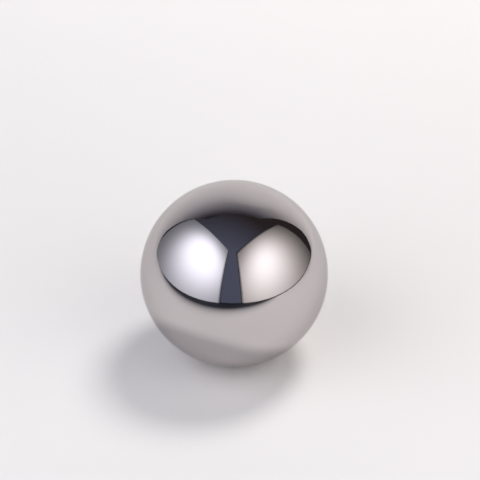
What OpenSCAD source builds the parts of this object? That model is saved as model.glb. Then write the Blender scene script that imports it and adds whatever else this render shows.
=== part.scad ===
// Polished steel ball
//
// One solid ball of hardened steel, ground true, lapped and polished to a mirror.
// It has no seam, flat, hole or core. Sizes are in millimetres. The origin is the
// centre of the ball, with +Z up.

/* [Ball] */

// Diameter of the ball, the same across every axis
ball_diameter = 50.8; // [6:0.1:120]

/* [Hidden] */

// Preview facets round the equator; the solid itself is a true sphere
$fn = 180;

// The whole ball, turned about its own centre
module steel_ball() {
    color("silver")
        sphere(d = ball_diameter);
}

steel_ball();
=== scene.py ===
"""A polished steel ball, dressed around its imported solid, on white paper between two lit screens."""
import math

import bpy
from mathutils import Matrix, Vector


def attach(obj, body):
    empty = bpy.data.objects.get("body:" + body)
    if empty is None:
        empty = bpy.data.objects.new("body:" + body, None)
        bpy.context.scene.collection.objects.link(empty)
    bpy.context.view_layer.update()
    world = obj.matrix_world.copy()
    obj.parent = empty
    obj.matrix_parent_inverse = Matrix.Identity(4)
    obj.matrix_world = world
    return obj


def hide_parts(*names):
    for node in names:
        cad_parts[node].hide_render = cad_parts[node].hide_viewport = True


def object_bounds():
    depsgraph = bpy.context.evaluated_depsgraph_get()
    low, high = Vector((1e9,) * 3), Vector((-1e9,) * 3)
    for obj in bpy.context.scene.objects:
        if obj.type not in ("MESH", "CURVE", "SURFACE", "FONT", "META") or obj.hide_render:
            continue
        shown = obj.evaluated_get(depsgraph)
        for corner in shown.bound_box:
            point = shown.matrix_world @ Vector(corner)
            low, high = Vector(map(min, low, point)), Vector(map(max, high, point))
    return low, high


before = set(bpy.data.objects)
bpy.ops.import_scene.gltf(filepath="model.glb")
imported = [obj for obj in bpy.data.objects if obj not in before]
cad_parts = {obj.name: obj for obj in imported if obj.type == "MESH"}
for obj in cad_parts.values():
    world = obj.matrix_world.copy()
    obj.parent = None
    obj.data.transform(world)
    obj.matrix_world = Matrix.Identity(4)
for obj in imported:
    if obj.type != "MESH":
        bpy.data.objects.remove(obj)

cad_low, cad_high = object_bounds()

# The ball
# One solid ball of hardened bearing steel, ground true between plates, then lapped and
# polished until it mirrors the room. It has no seam, flat or mark of any kind, so its mesh
# starts from a cube, whose six faces leave no pole and no seam for the mirror to show.
MM = 0.001
ball_radius = (cad_high.z - cad_low.z) / 2
face_halvings = 6

bpy.ops.object.select_all(action="DESELECT")
bpy.ops.mesh.primitive_cube_add(size=2 * ball_radius, location=(0, 0, 0))
ball = bpy.context.active_object
ball.name = "polished_ball"
rounding = ball.modifiers.new("rounding", "SUBSURF")
rounding.levels = face_halvings
rounding.render_levels = face_halvings
truing = ball.modifiers.new("truing", "CAST")
truing.cast_type = "SPHERE"
truing.factor = 1.0
truing.use_radius_as_size = False
truing.size = ball_radius
for modifier in (rounding.name, truing.name):
    bpy.ops.object.modifier_apply(modifier=modifier)
bpy.ops.object.shade_smooth()


def linear(hex_colour):
    """The linear colour of an sRGB hex value."""
    shares = [int(hex_colour[i:i + 2], 16) / 255 for i in (1, 3, 5)]
    straight = [((c + 0.055) / 1.055) ** 2.4 if c > 0.04045 else c / 12.92 for c in shares]
    return (*straight, 1.0)


def add_node(tree, kind, sockets=None, **settings):
    """Adds a node, sets its settings, and gives each named or numbered socket a value or a link."""
    node = tree.nodes.new(kind)
    for name, value in settings.items():
        setattr(node, name, value)
    for name, value in (sockets or {}).items():
        if isinstance(value, bpy.types.NodeSocket):
            tree.links.new(value, node.inputs[name])
        else:
            node.inputs[name].default_value = value
    return node


def new_material(name):
    """An empty node material, with its node tree."""
    material = bpy.data.materials.new(name)
    material.use_nodes = True
    material.node_tree.nodes.clear()
    return material, material.node_tree


# Mirror-polished bearing steel: a grey mirror that sends back a little over half of the
# light, and hardly more at a glancing angle, so its rim stays grey. Polishing leaves soft
# patches of haze, and lapping leaves hairlines that cross.
steel_bright = "#cac4c4"
steel_dull = "#c4bfbf"
steel_glancing = "#e2e1e1"
steel_patch = 16 * MM
steel_patch_detail = 3
haze_patch = 7 * MM
haze_detail = 5
haze_span = (0.3, 0.7)
haze_least = 0.03
haze_most = 0.07
# Real hairlines are a few thousandths of a millimetre wide, and are drawn wider to show
hairline_width = 0.3 * MM
hairline_length = 9 * MM
hairline_depth = 0.0008 * MM
hairline_detail = 1
hairline_turns = [(20, 10, 35), (70, 35, -50)]

polished_steel, steel = new_material("polished_bearing_steel")
steel_place = add_node(steel, "ShaderNodeTexCoord").outputs["Object"]
steel_patches = add_node(steel, "ShaderNodeTexNoise",
                         {"Vector": steel_place, "Scale": 1 / steel_patch, "Detail": steel_patch_detail})
steel_colour = add_node(steel, "ShaderNodeMix",
                        {"Factor": steel_patches.outputs["Fac"],
                         "A": linear(steel_dull), "B": linear(steel_bright)}, data_type="RGBA")
haze_patches = add_node(steel, "ShaderNodeTexNoise",
                        {"Vector": steel_place, "Scale": 1 / haze_patch, "Detail": haze_detail})
haze = add_node(steel, "ShaderNodeMapRange",
                {"Value": haze_patches.outputs["Fac"], "From Min": haze_span[0], "From Max": haze_span[1],
                 "To Min": haze_least, "To Max": haze_most})
hairline_sets = []
for turn in hairline_turns:
    along = add_node(steel, "ShaderNodeMapping",
                     {"Vector": steel_place, "Rotation": [math.radians(a) for a in turn],
                      "Scale": (1 / hairline_width, 1 / hairline_width, 1 / hairline_length)})
    lines = add_node(steel, "ShaderNodeTexNoise",
                     {"Vector": along.outputs["Vector"], "Scale": 1.0, "Detail": hairline_detail})
    hairline_sets.append(lines.outputs["Fac"])
crossed = add_node(steel, "ShaderNodeMath", dict(enumerate(hairline_sets)), operation="ADD")
steel_grain = add_node(steel, "ShaderNodeBump",
                       {"Strength": 1.0, "Distance": hairline_depth, "Height": crossed.outputs["Value"]})
steel_shader = add_node(steel, "ShaderNodeBsdfPrincipled",
                        {"Base Color": steel_colour.outputs["Result"], "Metallic": 1.0,
                         "Specular Tint": linear(steel_glancing), "Roughness": haze.outputs["Result"],
                         "Normal": steel_grain.outputs["Normal"]})
add_node(steel, "ShaderNodeOutputMaterial", {"Surface": steel_shader.outputs["BSDF"]})
ball.data.materials.append(polished_steel)

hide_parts("steel_ball")
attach(ball, "root")

# The paper
# A roll of background paper that the ball lies on. It is white where the ball lies and
# sweeps up behind it in one curve. Shade is painted into its colour towards its top, where
# the sweep stands in shade, and towards its near end, where the room below the screens is
# dark, sooner on the left of each; the mirror shows that painted shade as well.
paper_white = "#edeae7"
# The colours that the painted shade reaches at the near end and at the top
near_painted_shade_colour = "#23262f"
top_painted_shade_colour = "#696266"
paper_half_width = 0.78
paper_front = -0.9
paper_back = 0.6
paper_top = 1.6
paper_bend_radius = 0.25
paper_bend_steps = 24
paper_tooth = 0.6 * MM
paper_tooth_depth = 0.02 * MM
paper_tooth_detail = 3
paper_tooth_strength = 0.3
paper_roughness = 0.9
paper_shine = 0.1
# Each painted shade runs from its first place, fully dark, to its second, white, along its slant
near_shade = (-0.265, -0.08)
near_shade_slant = (0.45, 1.0, 0.0)
top_shade = (1.85, -0.1)
top_shade_slant = (-0.4, 0.0, 1.0)
# The painted glow grows from the first place to the second, backwards and downwards
sweep_painted_glow = 0.26
lift_far = (0.02, 0.4)
lift_high = (0.75, 0.0)


def select_edges(piece, chosen):
    """Leaves a piece in edit mode, with only the edges selected whose two ends are chosen."""
    bpy.ops.object.mode_set(mode="EDIT")
    bpy.ops.mesh.select_mode(type="EDGE")
    bpy.ops.mesh.select_all(action="DESELECT")
    bpy.ops.object.mode_set(mode="OBJECT")
    for edge in piece.data.edges:
        edge.select = all(chosen(piece.data.vertices[end].co) for end in edge.vertices)
    bpy.ops.object.mode_set(mode="EDIT")


bpy.ops.object.select_all(action="DESELECT")
bpy.ops.mesh.primitive_plane_add(size=1, location=(0, (paper_front + paper_back) / 2, cad_low.z))
paper = bpy.context.active_object
paper.name = "background_paper"
bpy.ops.transform.resize(value=(2 * paper_half_width, paper_back - paper_front, 1))
bpy.ops.object.transform_apply(location=True, rotation=False, scale=True)
select_edges(paper, lambda end: end.y > 0)
bpy.ops.mesh.extrude_region_move(TRANSFORM_OT_translate={"value": (0, 0, paper_top - cad_low.z)})
select_edges(paper, lambda end: end.y > 0 and end.z < 0)
bpy.ops.mesh.bevel(offset=paper_bend_radius, segments=paper_bend_steps, affect="EDGES")
bpy.ops.object.mode_set(mode="OBJECT")
bpy.ops.object.shade_smooth()

# Matt paper with a faint tooth, with shade painted into its colour towards its top and near end
painted_shade_paper, sheet = new_material("matt_paper_with_painted_shade")
paper_place = add_node(sheet, "ShaderNodeTexCoord").outputs["Object"]
paper_axes = add_node(sheet, "ShaderNodeSeparateXYZ", {"Vector": paper_place})
slanted_length = add_node(sheet, "ShaderNodeVectorMath",
                          {0: paper_place, 1: near_shade_slant}, operation="DOT_PRODUCT")
# Painted shade: the paper darkens towards its near end, sooner on the left
near_white = add_node(sheet, "ShaderNodeMapRange",
                      {"Value": slanted_length.outputs["Value"],
                       "From Min": near_shade[0], "From Max": near_shade[1]},
                      interpolation_type="SMOOTHSTEP")
slanted_height = add_node(sheet, "ShaderNodeVectorMath",
                          {0: paper_place, 1: top_shade_slant}, operation="DOT_PRODUCT")
# Painted shade: the sweep darkens towards its top, sooner on the left
foot_white = add_node(sheet, "ShaderNodeMapRange",
                      {"Value": slanted_height.outputs["Value"],
                       "From Min": top_shade[0], "From Max": top_shade[1]},
                      interpolation_type="SMOOTHSTEP")
wall_colour = add_node(sheet, "ShaderNodeMix",
                       {"Factor": foot_white.outputs["Result"],
                        "A": linear(top_painted_shade_colour), "B": linear(paper_white)}, data_type="RGBA")
paper_colour = add_node(sheet, "ShaderNodeMix",
                        {"Factor": near_white.outputs["Result"],
                         "A": linear(near_painted_shade_colour), "B": wall_colour.outputs["Result"]}, data_type="RGBA")
paper_fibres = add_node(sheet, "ShaderNodeTexNoise",
                        {"Vector": paper_place, "Scale": 1 / paper_tooth, "Detail": paper_tooth_detail})
paper_bump = add_node(sheet, "ShaderNodeBump",
                      {"Strength": paper_tooth_strength, "Distance": paper_tooth_depth,
                       "Height": paper_fibres.outputs["Fac"]})
paper_shader = add_node(sheet, "ShaderNodeBsdfPrincipled",
                        {"Base Color": paper_colour.outputs["Result"], "Roughness": paper_roughness,
                         "Specular IOR Level": paper_shine, "Normal": paper_bump.outputs["Normal"]})

# Painted light: the foot of the sweep glows, whiter than its light makes it, to the eye and in the mirror
# alike
sweep_far = add_node(sheet, "ShaderNodeMapRange",
                     {"Value": paper_axes.outputs["Y"], "From Min": lift_far[0], "From Max": lift_far[1],
                      "To Max": sweep_painted_glow}, interpolation_type="SMOOTHSTEP")
sweep_foot = add_node(sheet, "ShaderNodeMapRange",
                      {"Value": paper_axes.outputs["Z"], "From Min": lift_high[0], "From Max": lift_high[1]},
                      interpolation_type="SMOOTHSTEP")
rays = add_node(sheet, "ShaderNodeLightPath").outputs
looked_at = rays["Is Camera Ray"]
for other_ray in ("Is Glossy Ray", "Is Transmission Ray"):
    looked_at = add_node(sheet, "ShaderNodeMath", {0: looked_at, 1: rays[other_ray]},
                         operation="ADD", use_clamp=True).outputs["Value"]
lift = add_node(sheet, "ShaderNodeMath",
                {0: sweep_far.outputs["Result"], 1: sweep_foot.outputs["Result"]}, operation="MULTIPLY")
lift_seen = add_node(sheet, "ShaderNodeMath", {0: lift.outputs["Value"], 1: looked_at}, operation="MULTIPLY")
# Painted light: the paper's colour glows, for camera and glossy rays only
paper_painted_glow = add_node(sheet, "ShaderNodeEmission",
                      {"Color": paper_colour.outputs["Result"], "Strength": lift_seen.outputs["Value"]})
paper_and_painted_glow = add_node(sheet, "ShaderNodeAddShader",
                        {0: paper_shader.outputs["BSDF"], 1: paper_painted_glow.outputs["Emission"]})
add_node(sheet, "ShaderNodeOutputMaterial", {"Surface": paper_and_painted_glow.outputs["Shader"]})
paper.data.materials.append(painted_shade_paper)

# The lit screens
# Two screens of white cloth stand nearly upright, left and right of the camera. Each glows
# by itself, most in one patch, and the slit between the two stays dark.
# A black binding runs round them, apart from the foot of the left one, which hangs free.
screen_distance = 0.5
screen_lean = 3.0
screen_binding = 8 * MM
inner_soft = 0.06
# The edges and the patch are measured, in metres, from the point of the screen that is
# nearest to the ball, and angles are in degrees. The patch is an oval whose glow has halved
# at half_reach, and ends more suddenly the higher its steepness is. Its tint runs from the
# colour at its middle to the fringe.
screens = {
    "left": {"azimuth": -58, "inner": 0.46, "outer": -1.15, "top": 1.1,
             "top_soft": 0.04, "bound_foot": False,
             "patch": (0.02, 0.45), "stretch": (1.07, 0.93), "turn": -37,
             "half_reach": 0.41, "steepness": 3.4, "patch_glow": 2.05, "even_glow": 0.22,
             "colour": "#f0f3ff", "fringe": "#f0f3ff"},
    "right": {"azimuth": 51, "inner": -0.47, "outer": 1.06, "top": 1.03,
              "top_soft": 0.12, "bound_foot": True,
              "patch": (-0.02, 0.34), "stretch": (1.12, 0.89), "turn": 56,
              "half_reach": 0.39, "steepness": 2.2, "patch_glow": 1.85, "even_glow": 0.0,
              "colour": "#fefdff", "fringe": "#fff8f3"},
}

# Black cotton tape, matt, and too narrow here for its weave to show
tape_black = "#0c0c0e"
tape_roughness = 0.7
black_binding, tape = new_material("black_binding_tape")
tape_shader = add_node(tape, "ShaderNodeBsdfPrincipled",
                       {"Base Color": linear(tape_black), "Roughness": tape_roughness})
add_node(tape, "ShaderNodeOutputMaterial", {"Surface": tape_shader.outputs["BSDF"]})

lean = math.radians(screen_lean)
screen_foot = (cad_low.z - screen_distance * math.sin(lean)) / math.cos(lean)
for side, plan in screens.items():
    facing = math.radians(plan["azimuth"])
    outward = Vector((math.sin(facing) * math.cos(lean), -math.cos(facing) * math.cos(lean), math.sin(lean)))
    across = Vector((math.cos(facing), math.sin(facing), 0))
    upright = outward.cross(across)
    stand = Matrix((across, upright, -outward)).transposed().to_4x4()
    stand.translation = outward * screen_distance
    left_edge, right_edge = sorted((plan["inner"], plan["outer"]))
    bpy.ops.object.select_all(action="DESELECT")
    bpy.ops.mesh.primitive_plane_add(
        size=1, location=((left_edge + right_edge) / 2, (plan["top"] + screen_foot) / 2, 0))
    screen = bpy.context.active_object
    screen.name = f"{side}_screen"
    bpy.ops.transform.resize(value=(right_edge - left_edge, plan["top"] - screen_foot, 1))
    bpy.ops.object.transform_apply(location=True, rotation=False, scale=True)
    bpy.ops.object.mode_set(mode="EDIT")
    bpy.ops.mesh.select_all(action="SELECT")
    bpy.ops.mesh.inset(thickness=screen_binding)
    bpy.ops.object.mode_set(mode="OBJECT")
    screen.matrix_world = stand

    # White diffuser cloth that glows by itself: an oval patch that fades softly to all sides
    cloth, glow = new_material(f"{side}_diffuser_cloth")
    cloth_place = add_node(glow, "ShaderNodeTexCoord").outputs["Object"]
    cloth_axes = add_node(glow, "ShaderNodeSeparateXYZ", {"Vector": cloth_place})
    from_patch = add_node(glow, "ShaderNodeMapping",
                          {"Vector": cloth_place, "Location": (*plan["patch"], 0),
                           "Rotation": (0, 0, math.radians(plan["turn"])), "Scale": (*plan["stretch"], 1)},
                          vector_type="TEXTURE")
    reach = add_node(glow, "ShaderNodeVectorMath", {0: from_patch.outputs["Vector"]}, operation="LENGTH")
    reach_share = add_node(glow, "ShaderNodeMath",
                           {0: reach.outputs["Value"], 1: plan["half_reach"]}, operation="DIVIDE")
    fall = add_node(glow, "ShaderNodeMath",
                    {0: reach_share.outputs["Value"], 1: plan["steepness"]}, operation="POWER")
    dimming = add_node(glow, "ShaderNodeMath", {0: fall.outputs["Value"], 1: 1.0}, operation="ADD")
    patch = add_node(glow, "ShaderNodeMath", {0: 1.0, 1: dimming.outputs["Value"]}, operation="DIVIDE")
    cloth_glow = add_node(glow, "ShaderNodeMapRange",
                          {"Value": patch.outputs["Value"], "To Min": plan["even_glow"],
                           "To Max": plan["even_glow"] + plan["patch_glow"]})
    tint = add_node(glow, "ShaderNodeMix",
                    {"Factor": patch.outputs["Value"],
                     "A": linear(plan["fringe"]), "B": linear(plan["colour"])}, data_type="RGBA")
    inner_fade = math.copysign(inner_soft, plan["outer"])
    inner_edge = add_node(glow, "ShaderNodeMapRange",
                          {"Value": cloth_axes.outputs["X"], "From Min": plan["inner"],
                           "From Max": plan["inner"] + inner_fade}, interpolation_type="SMOOTHSTEP")
    top_edge = add_node(glow, "ShaderNodeMapRange",
                        {"Value": cloth_axes.outputs["Y"], "From Min": plan["top"],
                         "From Max": plan["top"] - plan["top_soft"]}, interpolation_type="SMOOTHSTEP")
    edge_fade = add_node(glow, "ShaderNodeMath",
                         {0: inner_edge.outputs["Result"], 1: top_edge.outputs["Result"]},
                         operation="MULTIPLY")
    cloth_light = add_node(glow, "ShaderNodeMath",
                           {0: cloth_glow.outputs["Result"], 1: edge_fade.outputs["Value"]},
                           operation="MULTIPLY")
    cloth_shader = add_node(glow, "ShaderNodeEmission",
                            {"Color": tint.outputs["Result"], "Strength": cloth_light.outputs["Value"]})
    add_node(glow, "ShaderNodeOutputMaterial", {"Surface": cloth_shader.outputs["Emission"]})
    screen.data.materials.append(cloth)
    screen.data.materials.append(black_binding)
    middle = max(screen.data.polygons, key=lambda face: face.area)
    foot = min(screen.data.polygons, key=lambda face: face.center.y)
    unbound = [middle.index] if plan["bound_foot"] else [middle.index, foot.index]
    for face in screen.data.polygons:
        face.material_index = 0 if face.index in unbound else 1

# The lamp
# A round soft lamp hangs high behind the ball, to its right. It whitens the paper and lays
# the ball's soft shadow towards the camera, and it is kept out of what the mirror shows.
lamp_place = Vector((0.35, 0.35, 0.95))
lamp_across = 0.4
lamp_power = 2.3
lamp_spread = 120

soft_lamp = bpy.data.lights.new("soft_lamp", "AREA")
soft_lamp.shape = "DISK"
soft_lamp.size = lamp_across
soft_lamp.energy = lamp_power
soft_lamp.spread = math.radians(lamp_spread)
lamp = bpy.data.objects.new("soft_lamp", soft_lamp)
bpy.context.scene.collection.objects.link(lamp)
lamp.visible_glossy = False
lamp.location = lamp_place
lamp.rotation_euler = (-lamp_place).to_track_quat("-Z", "Y").to_euler()

# The room
# Beyond the paper and the screens the studio is dark overhead and behind, with a little
# blue daylight towards the camera and to the left.
room_overhead = "#332c2e"
room_front = "#5d6276"
room_slant = (0.5, 1.0, 0.0)
room_shade = (0.42, -0.55)

studio = bpy.data.worlds.new("dark_studio")
studio.use_nodes = True
bpy.context.scene.world = studio
room = studio.node_tree
room.nodes.clear()
towards = add_node(room, "ShaderNodeTexCoord").outputs["Generated"]
slanted_way = add_node(room, "ShaderNodeVectorMath", {0: towards, 1: room_slant}, operation="DOT_PRODUCT")
forward = add_node(room, "ShaderNodeMapRange",
                   {"Value": slanted_way.outputs["Value"],
                    "From Min": room_shade[0], "From Max": room_shade[1]})
room_colour = add_node(room, "ShaderNodeMix",
                       {"Factor": forward.outputs["Result"],
                        "A": linear(room_overhead), "B": linear(room_front)}, data_type="RGBA")
room_light = add_node(room, "ShaderNodeBackground", {"Color": room_colour.outputs["Result"]})
add_node(room, "ShaderNodeOutputWorld", {"Surface": room_light.outputs["Background"]})

# The camera
# A long lens looks down on the ball, and is aimed a little past it, so that the ball's
# outline falls on the same circle of the picture as in the photograph.
camera_elevation = 34.0
camera_distance = 0.6
picture_side = 480
outline_centre = (234.1, 273.5)
outline_radius = 94.0
sensor_width = 36.0

tilt = math.radians(camera_elevation)
to_camera = Vector((0, -math.cos(tilt), math.sin(tilt)))
picture_up = Vector((0, math.sin(tilt), math.cos(tilt)))
picture_right = Vector((1, 0, 0))
focal_pixels = outline_radius / math.tan(math.asin(ball_radius / camera_distance))
aim_right = (picture_side / 2 - outline_centre[0]) / focal_pixels * camera_distance
aim_up = (outline_centre[1] - picture_side / 2) / focal_pixels * camera_distance

lens = bpy.data.cameras.new("long_lens")
lens.sensor_width = sensor_width
lens.lens = focal_pixels * sensor_width / picture_side
camera = bpy.data.objects.new("camera", lens)
bpy.context.scene.collection.objects.link(camera)
camera.location = to_camera * camera_distance
aim = picture_right * aim_right + picture_up * aim_up
camera.rotation_euler = (aim - camera.location).to_track_quat("-Z", "Y").to_euler()
bpy.context.scene.camera = camera
bpy.context.scene.view_settings.view_transform = "Standard"
